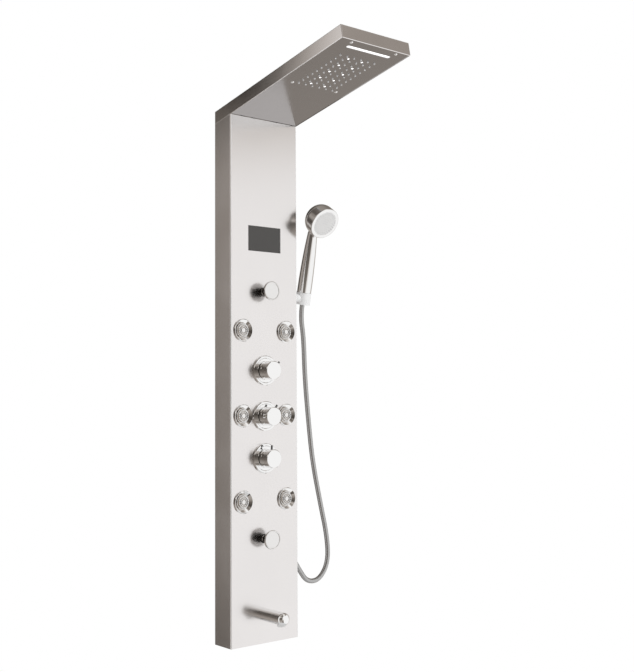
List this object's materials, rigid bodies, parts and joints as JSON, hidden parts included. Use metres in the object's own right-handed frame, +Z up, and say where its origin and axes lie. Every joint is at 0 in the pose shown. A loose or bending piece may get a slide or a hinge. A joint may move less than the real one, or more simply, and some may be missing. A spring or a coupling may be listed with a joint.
{
  "type": "shower panel column",
  "caption": "Wall-hung metal shower panel column with a sloping rain and waterfall head, turning knobs, body jets, bath spout, display window and hand shower on a hose.",
  "frame": {"origin": "on the wall plane, at the bottom of the centre line of the column", "axes": "+Z up, the front faces -Y, +X to the right seen from the front; the wall is the plane Y = 0"},
  "size_m": [0.3377, 0.4738, 1.3711],
  "materials": {
    "brushed_nickel": "fine brushed satin",
    "plate_steel": "fine brushed satin, darker",
    "dark_metal": "dark polished",
    "bracket_steel": "plain rolled sheet",
    "white_plastic": "moulded",
    "lamp_lens": "clear moulded lens",
    "circuit_board": "solder mask",
    "grey_plastic": "moulded",
    "grey_rubber": "soft moulded silicone",
    "black_window": "smoked glossy window",
    "brass": "cast and machined",
    "chrome": "polished plating",
    "hose_metal": "wound metal hose",
    "spray_face": "moulded spray face"
  },
  "bodies": {
    "column": {"cartridge_nuts": "brass", "column_shell": "brushed_nickel", "display_housing": "white_plastic", "display_window": "black_window", "diverter_cartridge": "brass", "diverter_ring_plate": "chrome", "hand_shower_holder": "white_plastic", "hanger_bars": "bracket_steel", "head_joint_plates": "bracket_steel", "head_spray_plate": "plate_steel", "head_top_shell": "brushed_nickel", "hose_outlet": "chrome", "hose_outlet_nut": "chrome", "jet_housings": "chrome", "jet_nuts": "brass", "led_board": "circuit_board", "led_lamps": "lamp_lens", "lower_stop_valve": "chrome", "mixer_cartridge": "brass", "mixer_ring_plate": "chrome", "rain_chamber": "white_plastic", "rain_chamber_lid": "white_plastic", "rain_nozzles": "grey_rubber", "selector_cartridge": "brass", "selector_ring_plate": "chrome", "shower_hose": "hose_metal", "spout_aerator": "spray_face", "spout_body": "chrome", "spout_nut": "brass", "spray_plate_screws": "chrome", "supply_pipes": "white_plastic", "turbine_body": "white_plastic", "upper_stop_valve": "chrome", "valve_manifold": "brass", "wall_bracket_lower": "bracket_steel", "wall_bracket_upper": "bracket_steel", "waterfall_outlet": "white_plastic"},
    "mixer_handle": {"mixer_knob": "chrome", "mixer_index_pin": "dark_metal", "mixer_spindle": "brass"},
    "diverter_handle": {"diverter_knob": "chrome", "diverter_index_pin": "dark_metal", "diverter_spindle": "brass"},
    "selector_handle": {"selector_knob": "chrome", "selector_index_pin": "dark_metal", "selector_spindle": "brass"},
    "upper_stop_handle": {"upper_stop_knob": "brushed_nickel", "upper_stop_spindle": "brass"},
    "lower_stop_handle": {"lower_stop_knob": "brushed_nickel", "lower_stop_spindle": "brass"},
    "jet_upper_left": {"jet_upper_left_ball": "chrome"},
    "jet_upper_right": {"jet_upper_right_ball": "chrome"},
    "jet_middle_left": {"jet_middle_left_ball": "chrome"},
    "jet_middle_right": {"jet_middle_right_ball": "chrome"},
    "jet_lower_left": {"jet_lower_left_ball": "chrome"},
    "jet_lower_right": {"jet_lower_right_ball": "chrome"},
    "rotor": {"turbine_rotor": "grey_plastic"},
    "hand_shower": {"hand_shower_body": "chrome", "hand_shower_face": "spray_face", "hose_cone_nut": "chrome"}
  },
  "joints": [
    {"name": "mixer_turn", "type": "hinge", "parent": "column", "child": "mixer_handle", "pos_m": [0, -0.103, 0.65], "axis": [0, 1, 0], "range_deg": [-51, 59]},
    {"name": "diverter_turn", "type": "hinge", "parent": "column", "child": "diverter_handle", "pos_m": [0, -0.103, 0.54], "axis": [0, 1, 0], "range_deg": [-94, 26]},
    {"name": "selector_turn", "type": "hinge", "parent": "column", "child": "selector_handle", "pos_m": [0, -0.103, 0.439], "axis": [0, 1, 0], "range_deg": [-64, 56]},
    {"name": "upper_stop_turn", "type": "hinge", "parent": "column", "child": "upper_stop_handle", "pos_m": [0, -0.097, 0.841], "axis": [0, 1, 0], "range_deg": [0, 90]},
    {"name": "lower_stop_turn", "type": "hinge", "parent": "column", "child": "lower_stop_handle", "pos_m": [0, -0.097, 0.247], "axis": [0, 1, 0], "range_deg": [0, 90]},
    {"name": "jet_upper_left_tilt", "type": "hinge", "parent": "column", "child": "jet_upper_left", "pos_m": [-0.0645, -0.06, 0.7455], "axis": [1, 0, 0], "range_deg": [-10, 10]},
    {"name": "jet_upper_right_tilt", "type": "hinge", "parent": "column", "child": "jet_upper_right", "pos_m": [0.0645, -0.06, 0.7455], "axis": [1, 0, 0], "range_deg": [-10, 10]},
    {"name": "jet_middle_left_tilt", "type": "hinge", "parent": "column", "child": "jet_middle_left", "pos_m": [-0.0645, -0.06, 0.5418], "axis": [1, 0, 0], "range_deg": [-10, 10]},
    {"name": "jet_middle_right_tilt", "type": "hinge", "parent": "column", "child": "jet_middle_right", "pos_m": [0.0645, -0.06, 0.5418], "axis": [1, 0, 0], "range_deg": [-10, 10]},
    {"name": "jet_lower_left_tilt", "type": "hinge", "parent": "column", "child": "jet_lower_left", "pos_m": [-0.0645, -0.06, 0.3384], "axis": [1, 0, 0], "range_deg": [-10, 10]},
    {"name": "jet_lower_right_tilt", "type": "hinge", "parent": "column", "child": "jet_lower_right", "pos_m": [0.0645, -0.06, 0.3384], "axis": [1, 0, 0], "range_deg": [-10, 10]},
    {"name": "rotor_spin", "type": "hinge", "parent": "column", "child": "rotor", "pos_m": [-0.034, -0.03, 1.15], "axis": [0, 1, 0], "continuous": true},
    {"name": "hand_shower_lift", "type": "slide", "parent": "column", "child": "hand_shower", "axis": [0, -0.2334, 0.9724], "range_m": [0, 0.06]}
  ]
}
